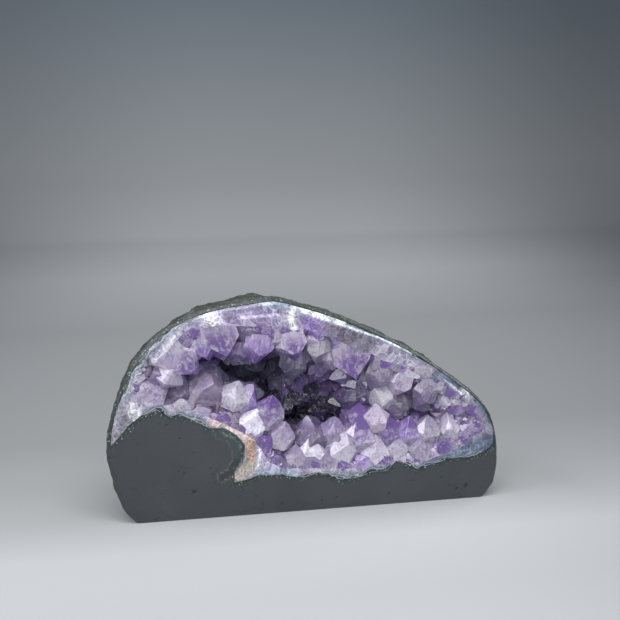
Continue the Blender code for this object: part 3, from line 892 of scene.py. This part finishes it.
# The mass between the crystals comes first, and then each crystal with a shade of its own.
MASS_BODY, MASS_CORE, MASS_SCALE = (0.30, 0.25, 0.38), 0.3, 100
SHADE_STEP, SHADE_RANGE, STAIN_SHARE = 0.618, 0.7, 0.8
looks = [None] + [look for _, look in grown]
bodies = [Vector(MASS_BODY)]
for number, (inverse, look) in enumerate(grown, start=1):
    shade = 1.0 + SHADE_RANGE * ((number * SHADE_STEP) % 1.0 - 0.6)
    # A crystal takes the stains, and the painted highlights, that lie at its point.
    *paint, strength = stain_at(inverse.inverted().translation, QUARTZ_STAINS_AND_HIGHLIGHTS)
    bodies.append((Vector(LOOKS[look][0]) * shade).lerp(Vector(paint), strength * STAIN_SHARE))
marks = [d.value for d in joined.attributes["crystal"].data]
finishes = []
for face, mark in zip(joined.polygons, marks):
    if mark:
        finishes.append(MILKY if looks[mark] in ("milk", "pale") else CLEAR)
    elif on_ring(mark, face.normal, face.center):
        finishes.append(RING)
    else:
        hidden = rock_tree.ray_cast(face.center, face.normal, HIDDEN_REACH)[0]
        finishes.append(LINING if hidden else CLEAR)

# What the materials read: how far the rock is, the stains and painted highlights, where a
# point lies in its own crystal, and the crystal's body colour with the strength of its core.
to_rock = joined.attributes.new("to_rock", "FLOAT", "POINT")
to_rock.data.foreach_set("value", [rock_tree.find_nearest(v.co)[3] / MM
                                   for v in joined.vertices])
stained(joined, QUARTZ_STAINS_AND_HIGHLIGHTS)
growth = joined.attributes.new("growth", "FLOAT_VECTOR", "CORNER")
tint = joined.attributes.new("tint", "FLOAT_COLOR", "FACE")

places = [0.0] * (3 * len(joined.loops))
tints = []
for face, mark in zip(joined.polygons, marks):
    paint = bodies[mark]
    # Painted shade: the mass deep in the hollow is painted dark like the crystals there.
    if not mark and face.center.y > face_y + DEEP * MM:
        paint = Vector(LOOKS[painted_shade_look(face.center)][0])
    tints.extend((*paint, LOOKS[looks[mark]][1] if mark else MASS_CORE))
    for loop in face.loop_indices:
        spot = joined.vertices[joined.loops[loop].vertex_index].co
        local = grown[mark - 1][0] @ spot if mark else spot * MASS_SCALE
        places[3 * loop:3 * loop + 3] = local
growth.data.foreach_set("vector", places)
tint.data.foreach_set("color", tints)


def fractured(tree, place, size, colour, dark, pale, line):
    """Breaks a colour up into sharp-edged cells of darker and paler quartz with fine cracks."""
    shift = node(tree, "TexNoise", {"Vector": place, "Scale": 0.4 / size, "Detail": 2.0})
    bent = node(tree, "VectorMath", {0: shift.outputs["Color"], 1: (size, size, size)},
                operation="MULTIPLY")
    bent = node(tree, "VectorMath", {0: place, 1: bent.outputs["Vector"]}, operation="ADD")
    cells = node(tree, "TexVoronoi", {"Vector": bent.outputs["Vector"], "Scale": 1 / size})
    cracks = node(tree, "TexVoronoi", {"Vector": bent.outputs["Vector"], "Scale": 1 / size},
                  feature="DISTANCE_TO_EDGE")
    tone = node(tree, "SeparateColor", {"Color": cells.outputs["Color"]}).outputs[0]
    colour = blended(tree, math_node(tree, "MULTIPLY", between(tree, tone, 0.45, 0.0), dark),
                     colour, (0.16, 0.10, 0.30))
    colour = blended(tree, math_node(tree, "MULTIPLY", between(tree, tone, 0.6, 1.0), pale),
                     colour, (0.80, 0.78, 0.86))
    crack = between(tree, cracks.outputs["Distance"], 0.06, 0.0)
    return blended(tree, math_node(tree, "MULTIPLY", crack, line), colour, (0.88, 0.87, 0.93))


# The sawn ring: milky quartz in columns that run in from the rock, with bands of agate.
cut_quartz, tree, shader, place = new_finish("sawn_quartz", Roughness=0.22, IOR=1.544,
                                             Subsurface_Weight=0.3, Subsurface_Scale=2.0 * MM)
shader.inputs["Subsurface Radius"].default_value = (1.0, 0.8, 1.2)
near = node(tree, "Attribute", attribute_name="to_rock").outputs["Fac"]
spot = node(tree, "SeparateXYZ", {"Vector": place})
across = math_node(tree, "SUBTRACT", spot.outputs["X"], HOLLOW_MIDDLE.x)
up = math_node(tree, "SUBTRACT", spot.outputs["Z"], HOLLOW_MIDDLE.z)
bend = node(tree, "TexNoise", {"Vector": place, "Scale": 140.0, "Detail": 3.0})
for size, out, share in ((9.0, 0.09, 1.0), (26.0, 0.30, 0.5)):
    heading = math_node(tree, "MULTIPLY", math_node(tree, "ARCTAN2", up, across), size)
    column_place = node(tree, "CombineXYZ", {
        "X": heading, "Y": math_node(tree, "MULTIPLY", near, out)}).outputs["Vector"]
    column_place = node(tree, "VectorMath", {0: column_place}, operation="ADD")
    tree.links.new(node(tree, "VectorMath", {0: bend.outputs["Color"], 1: (3.0, 3.0, 3.0)},
                        operation="MULTIPLY").outputs["Vector"], column_place.inputs[1])
    columns = node(tree, "TexVoronoi", {"Vector": column_place.outputs["Vector"],
                                        "Scale": 1.0})
    choice = node(tree, "SeparateColor", {"Color": columns.outputs["Color"]}).outputs[0]
    seams = node(tree, "TexVoronoi", {"Vector": column_place.outputs["Vector"], "Scale": 1.0},
                 feature="DISTANCE_TO_EDGE")
    seam = math_node(tree, "SUBTRACT", 1.0, between(tree, seams.outputs["Distance"], 0.0, 0.09))
    tones = ramp(tree, choice, [
        (0.0, (0.09, 0.065, 0.15)), (0.25, (0.14, 0.12, 0.21)), (0.5, (0.25, 0.23, 0.32)),
        (0.75, (0.40, 0.38, 0.46)), (0.9, (0.15, 0.13, 0.19)), (1.0, (0.26, 0.20, 0.36))])
    inside = node(tree, "VectorMath", {0: column_place.outputs["Vector"],
                                       1: columns.outputs["Position"]}, operation="SUBTRACT")
    inside = node(tree, "SeparateXYZ", {"Vector": inside.outputs["Vector"]})
    # Painted shade: one half of each column cell is painted darker, so the flat sawn face looks
    # faceted.
    painted_facet_shade = math_node(tree, "ADD", inside.outputs["X"],
                      math_node(tree, "MULTIPLY", inside.outputs["Y"], 0.5))
    painted_facet_shade = math_node(tree, "MULTIPLY", between(tree, painted_facet_shade, -0.03, 0.03), 0.45)
    root = between(tree, inside.outputs["Y"], 0.45, -0.3)
    tones = blended(tree, math_node(tree, "MULTIPLY", root, 0.3), tones, (0.45, 0.43, 0.52))
    tones = blended(tree, painted_facet_shade, tones, (0.10, 0.075, 0.17))
    body = tones if share == 1.0 else blended(tree, share, body, tones)
    seam = math_node(tree, "MULTIPLY", seam, between(tree, mottle(tree, place, 5 * MM),
                                                     0.42, 0.6))
    body = blended(tree, math_node(tree, "MULTIPLY", seam, 0.6), body, (0.62, 0.60, 0.68))
grain = mottle(tree, place, 1.6 * MM, 6.0, 0.8)
coarse = mottle(tree, place, 7 * MM, 3.0, 1.2)
body = blended(tree, math_node(tree, "MULTIPLY", between(tree, grain, 0.54, 0.66), 0.4),
               body, (0.52, 0.50, 0.57))
body = blended(tree, math_node(tree, "MULTIPLY", between(tree, grain, 0.46, 0.30), 0.6),
               body, (0.09, 0.07, 0.13))
body = blended(tree, math_node(tree, "MULTIPLY", between(tree, coarse, 0.5, 0.7), 0.3),
               body, (0.44, 0.42, 0.50))
body = fractured(tree, place, 4.5 * MM, body, 0.4, 0.25, 0.35)
sway = math_node(tree, "MULTIPLY", math_node(tree, "SUBTRACT", mottle(tree, place, 7 * MM, 4.0),
                                             0.5), 7.0)
band = math_node(tree, "ADD", near, sway)
agate = ramp(tree, math_node(tree, "DIVIDE", band, 6.0), [
    (0.0, (0.012, 0.018, 0.02)), (0.12, (0.035, 0.05, 0.058)), (0.20, (0.30, 0.34, 0.37)),
    (0.28, (0.07, 0.09, 0.13)), (0.40, (0.22, 0.25, 0.33)), (0.52, (0.10, 0.11, 0.16)),
    (0.66, (0.28, 0.27, 0.35)), (1.0, (0.24, 0.21, 0.31))])
specks = between(tree, mottle(tree, place, 1.2 * MM, 4.0), 0.60, 0.68)
agate = blended(tree, math_node(tree, "MULTIPLY", specks, 0.8), agate, (0.55, 0.58, 0.60))
colour = blended(tree, between(tree, band, 1.6, 4.0), agate, body)
# The stains on the ring, and with them the painted highlight lines along its polished edge.
stain = node(tree, "Attribute", attribute_name="stain")
bright = node(tree, "RGBToBW", {"Color": body}).outputs["Val"]
bright = math_node(tree, "ADD", math_node(tree, "MULTIPLY", bright, 2.6),
                   math_node(tree, "MULTIPLY", grain, 1.2))
bright = math_node(tree, "SUBTRACT", bright, 0.35)
streaks = node(tree, "VectorMath", {0: stain.outputs["Color"]}, operation="SCALE")
tree.links.new(bright, streaks.inputs["Scale"])
colour = blended(tree, stain.outputs["Alpha"], colour, streaks.outputs["Vector"])
tree.links.new(colour, shader.inputs["Base Color"])
bump = node(tree, "Bump", {"Height": grain, "Distance": 0.2 * MM, "Strength": 0.3})
tree.links.new(bump.outputs["Normal"], shader.inputs["Normal"])
joined.materials.clear()
joined.materials.append(cut_quartz)

# The crystals: clear to smoky amethyst with pale roots and purple cores, and milky quartz.
CRYSTAL_FINISHES = [("clear_amethyst", 0.5, 0.05), ("milky_quartz", 0.0, 0.16)]
for name, transmission, roughness in CRYSTAL_FINISHES:
    finish, tree, shader, place = new_finish(
        name, Transmission_Weight=transmission, Roughness=roughness, IOR=1.544)
    stain = node(tree, "Attribute", attribute_name="tint")
    inner = node(tree, "Attribute", attribute_name="growth").outputs["Vector"]
    spot = node(tree, "SeparateXYZ", {"Vector": inner})
    spread = node(tree, "VectorMath", {0: node(tree, "CombineXYZ", {
        "X": spot.outputs["X"], "Y": spot.outputs["Y"]}).outputs["Vector"]},
        operation="LENGTH").outputs["Value"]
    veils = node(tree, "TexNoise", {"Vector": inner, "Scale": 3.5, "Detail": 6.0,
                                    "Distortion": 1.5}).outputs["Fac"]
    specks_and_glints = mottle(tree, place, 2.2 * MM, 6.0, 1.0)
    wobble = math_node(tree, "MULTIPLY", math_node(tree, "SUBTRACT", veils, 0.5), 0.7)
    core = math_node(tree, "MULTIPLY",
                     between(tree, math_node(tree, "ADD", spread, wobble), 0.60, 0.22),
                     stain.outputs["Alpha"])
    below = math_node(tree, "MULTIPLY", spot.outputs["Z"], -1.0)
    core = math_node(tree, "MULTIPLY", core, between(tree, below, 1.1, 0.5))
    colour = blended(tree, core, stain.outputs["Color"], (0.18, 0.08, 0.40))
    fibre_place = node(tree, "VectorMath", {0: inner, 1: (15.0, 15.0, 2.6)},
                       operation="MULTIPLY").outputs["Vector"]
    fibres = node(tree, "TexNoise", {"Vector": fibre_place, "Scale": 1.0,
                                     "Detail": 4.0}).outputs["Fac"]
    lower = math_node(tree, "MULTIPLY", between(tree, below, 0.1, 0.7), 0.45)
    colour = blended(tree, math_node(tree, "MULTIPLY", lower, between(tree, fibres, 0.48, 0.36)),
                     colour, (0.26, 0.19, 0.40))
    colour = blended(tree, math_node(tree, "MULTIPLY", lower, between(tree, fibres, 0.54, 0.66)),
                     colour, (0.88, 0.86, 0.93))
    pale = between(tree, math_node(tree, "ADD", below, wobble), 0.55, 1.3)
    colour = blended(tree, math_node(tree, "MULTIPLY", pale, 0.5), colour, (0.50, 0.47, 0.58))
    colour = blended(tree, math_node(tree, "MULTIPLY", between(tree, veils, 0.56, 0.70), 0.5),
                     colour, (0.66, 0.64, 0.73))
    # Darker mottling, and pale specks painted on as glints of light.
    colour = blended(tree, math_node(tree, "MULTIPLY", between(tree, specks_and_glints, 0.48, 0.34), 0.5),
                     colour, (0.22, 0.14, 0.38))
    colour = blended(tree, math_node(tree, "MULTIPLY", between(tree, specks_and_glints, 0.57, 0.68), 0.45),
                     colour, (0.84, 0.82, 0.90))
    tree.links.new(colour, shader.inputs["Base Color"])
    if transmission > 0:
        tint_in = node(tree, "VolumeAbsorption", {"Color": (0.55, 0.30, 0.85, 1.0),
                                                  "Density": 15.0})
        tree.links.new(tint_in.outputs["Volume"], tree.nodes["Material Output"].inputs["Volume"])
    else:
        shader.inputs["Subsurface Weight"].default_value = 0.4
        shader.inputs["Subsurface Scale"].default_value = 2.0 * MM
        shader.inputs["Subsurface Radius"].default_value = (1.0, 0.8, 1.2)
    joined.materials.append(finish)

# The mass's skin against the rock, which nothing shows.
lining, tree, shader, place = new_finish("milky_lining", Roughness=0.6)
tree.links.new(ramp(tree, mottle(tree, place, 4 * MM), [
    (0.3, (0.45, 0.38, 0.58)), (0.7, (0.75, 0.70, 0.82))]), shader.inputs["Base Color"])
joined.materials.append(lining)
joined.polygons.foreach_set("material_index", finishes)
joined.polygons.foreach_set("use_smooth", [False] * len(finishes))
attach(crust, "root")
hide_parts("amethyst_crust")
